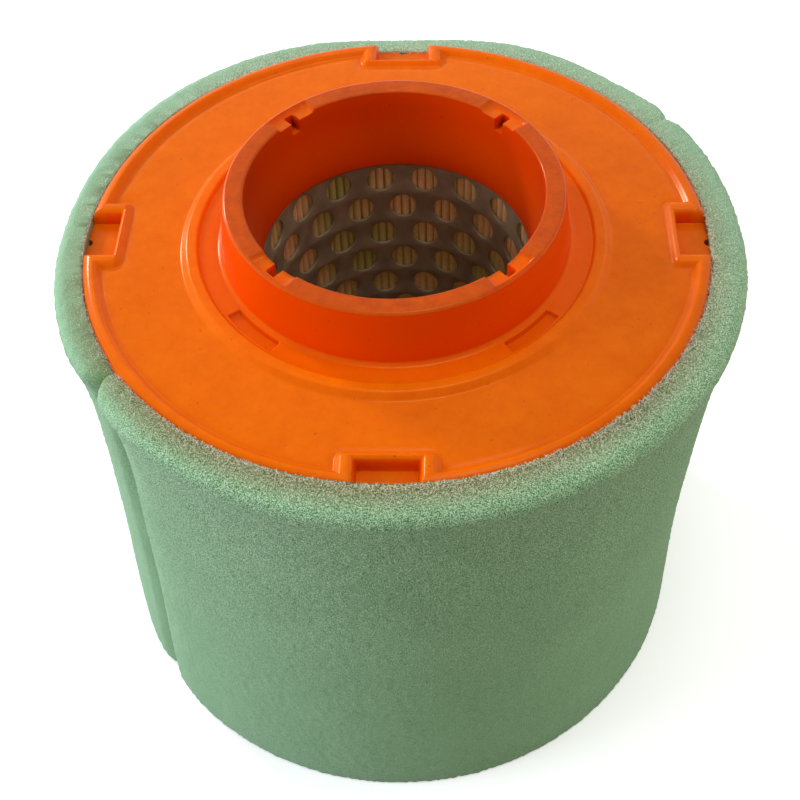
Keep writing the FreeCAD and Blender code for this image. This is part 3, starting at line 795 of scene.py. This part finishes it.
# ------------------------------------------------------------------ cut strands of the foam
# Where the sheet was cut to height, the cell walls are torn open and their fine ends stand up. They catch
# the light along the edge that lies against the orange rim, and their pale cream colour is a painted
# highlight of that light.

STRANDS = 24000
STRAND_LENGTH = 0.65 * mm
STRAND_THICKNESS = 0.085 * mm
STRAND_OVERHANG = 0.1 * mm
FRONT_OVERHANG = 0.35 * mm


def make_strands():
    rng = np.random.default_rng(21)
    turn = rng.uniform(-math.pi, math.pi, STRANDS)
    share = rng.beta(0.65, 2.2, STRANDS)
    pinch = weld_pinch(turn)
    edge = foam_edge(turn) - PINCH_DROP * pinch
    outer = foam_outline(turn, RIM_TOP - edge) - 0.55 * PINCH_DEPTH * pinch
    inner = CAP_EDGE - STRAND_OVERHANG - FRONT_OVERHANG * np.maximum(-np.sin(turn), 0)
    radius = inner + (outer - inner) * share
    z = edge - TOP_ROUND * (1 - np.sqrt(1 - ease(0.35, 1, share) ** 2 * 0.98)) - 0.05 * mm
    roots = np.c_[radius * np.cos(turn), radius * np.sin(turn), z]
    aim = rng.normal(0, 1, (STRANDS, 3))
    aim[:, 2] = np.abs(aim[:, 2]) * 0.8
    aim /= np.linalg.norm(aim, axis=1)[:, None]
    side = np.cross(aim, rng.normal(0, 1, (STRANDS, 3)))
    side /= np.linalg.norm(side, axis=1)[:, None]
    other = np.cross(aim, side)
    length = STRAND_LENGTH * rng.uniform(0.5, 1.2, (STRANDS, 1))
    length *= 1 - 0.6 * ease(0.45, 0.9, -np.cos(turn))[:, None]      # cut cleaner on the left
    middle = roots + aim * length * 0.45
    ring = [middle + (side * math.cos(t) + other * math.sin(t)) * STRAND_THICKNESS / 2
            for t in (0, 2 * math.pi / 3, 4 * math.pi / 3)]
    points = np.stack([roots, *ring, roots + aim * length], 1).reshape(-1, 3)
    faces = []
    for n in range(STRANDS):
        a = 5 * n
        for i, j in ((1, 2), (2, 3), (3, 1)):
            faces += [(a, a + j, a + i), (a + 4, a + i, a + j)]
    # painted highlight: pale cream in place of the foam's green, for the light the strands catch
    material = new_material("foam_strands", (0.92, 0.91, 0.70), 0.5)[0]
    return new_piece("sleeve_cut_strands", points, faces, material, 180)


strands = make_strands()
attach(strands, "pre_cleaner")

# ------------------------------------------------------------------ floor, light and camera
# A pale floor under soft light from above, with the camera looking down into the neck.

CAMERA_AZIMUTH = math.radians(-86.92)
CAMERA_TILT = math.radians(38.867)
CAMERA_ROLL = math.radians(-2.223)
CAMERA_REACH = 183.43 * mm
CAMERA_HEIGHT = 280.95 * mm
FOCAL_LENGTH = 59.85
FLOOR_SIZE = 6.0
FLOOR_GAP = 0.05 * mm
CAMERA_SHIFT = -0.0026875        # as a share of the view's width
SENSOR_WIDTH = 36.0


def sees_backdrop(tree):
    """1 for the rays that show the plain white surroundings, 0 for those that light the object."""
    path = add_node(tree, "ShaderNodeLightPath")
    either = add_node(tree, "ShaderNodeMath", {0: path.outputs["Is Camera Ray"],
                                               1: path.outputs["Is Glossy Ray"]}, operation="MAXIMUM")
    return add_node(tree, "ShaderNodeMath", {0: either.outputs[0], 1: path.outputs["Is Transmission Ray"]},
                    operation="MAXIMUM").outputs[0]


def add_floor():
    mesh = bpy.data.meshes.new("floor")
    s, z = FLOOR_SIZE / 2, -FLOOR_GAP
    mesh.from_pydata([(-s, -s, z), (s, -s, z), (s, s, z), (-s, s, z)], [], [(0, 1, 2, 3)])
    floor = bpy.data.objects.new("floor", mesh)
    bpy.context.scene.collection.objects.link(floor)
    material = bpy.data.materials.new("floor")
    material.use_nodes = True
    tree = material.node_tree
    tree.nodes.clear()
    seen = add_node(tree, "ShaderNodeBsdfDiffuse", {"Color": (1.0, 1.0, 1.0, 1.0)})
    glow = add_node(tree, "ShaderNodeEmission", {"Color": (1.0, 1.0, 1.0, 1.0), "Strength": 0.35})
    white = add_node(tree, "ShaderNodeAddShader", {0: seen.outputs[0], 1: glow.outputs[0]})
    dull = add_node(tree, "ShaderNodeBsdfDiffuse", {"Color": (0.36, 0.37, 0.26, 1.0)})
    mix = add_node(tree, "ShaderNodeMixShader",
                   {0: sees_backdrop(tree), 1: dull.outputs[0], 2: white.outputs[0]})
    add_node(tree, "ShaderNodeOutputMaterial", {"Surface": mix.outputs[0]})
    mesh.materials.append(material)


def light_world(strength):
    world = bpy.data.worlds.new("studio")
    bpy.context.scene.world = world
    world.use_nodes = True
    tree = world.node_tree
    tree.nodes.clear()
    soft = add_node(tree, "ShaderNodeBackground", {"Color": (1.0, 1.0, 0.93, 1.0), "Strength": strength})
    white = add_node(tree, "ShaderNodeBackground", {"Color": (1.0, 1.0, 1.0, 1.0), "Strength": 1.0})
    mix = add_node(tree, "ShaderNodeMixShader",
                   {0: sees_backdrop(tree), 1: soft.outputs[0], 2: white.outputs[0]})
    add_node(tree, "ShaderNodeOutputWorld", {"Surface": mix.outputs[0]})


def add_lamp(name, place, size, power, color=(1.0, 1.0, 1.0), shine=True):
    """A round lamp that faces the object. Without shine it leaves no reflection of itself."""
    lamp = bpy.data.lights.new(name, "AREA")
    lamp.color = color
    lamp.shape = "DISK"
    lamp.size = size
    lamp.energy = power
    holder = bpy.data.objects.new(name, lamp)
    holder.location = place
    holder.rotation_euler = Vector(place).to_track_quat("Z", "Y").to_euler()
    holder.visible_glossy = shine
    bpy.context.scene.collection.objects.link(holder)


def add_camera():
    data = bpy.data.cameras.new("camera")
    data.lens = FOCAL_LENGTH
    data.sensor_width = SENSOR_WIDTH
    data.shift_x = CAMERA_SHIFT
    camera = bpy.data.objects.new("camera", data)
    bpy.context.scene.collection.objects.link(camera)
    place = Vector((CAMERA_REACH * math.cos(CAMERA_AZIMUTH), CAMERA_REACH * math.sin(CAMERA_AZIMUTH),
                    CAMERA_HEIGHT))
    camera.matrix_world = (Matrix.Translation(place)
                           @ Matrix.Rotation(CAMERA_AZIMUTH + math.pi / 2, 4, "Z")
                           @ Matrix.Rotation(CAMERA_TILT, 4, "X") @ Matrix.Rotation(CAMERA_ROLL, 4, "Z"))
    bpy.context.scene.camera = camera


add_floor()
light_world(strength=0.31)
add_lamp("overhead", (0.1, -0.02, 1.0), size=0.5, power=3.5)
add_lamp("window", (-0.85, 0.75, 0.55), size=0.16, power=7.0)
add_lamp("left_fill", (-1.05, -0.22, 0.38), size=0.7, power=8.9, color=(0.86, 0.94, 1.1), shine=False)
add_lamp("right_fill", (1.1, -0.1, 0.35), size=0.8, power=3.0, color=(1.0, 0.97, 0.80), shine=False)
add_camera()
bpy.context.scene.view_settings.view_transform = "Standard"
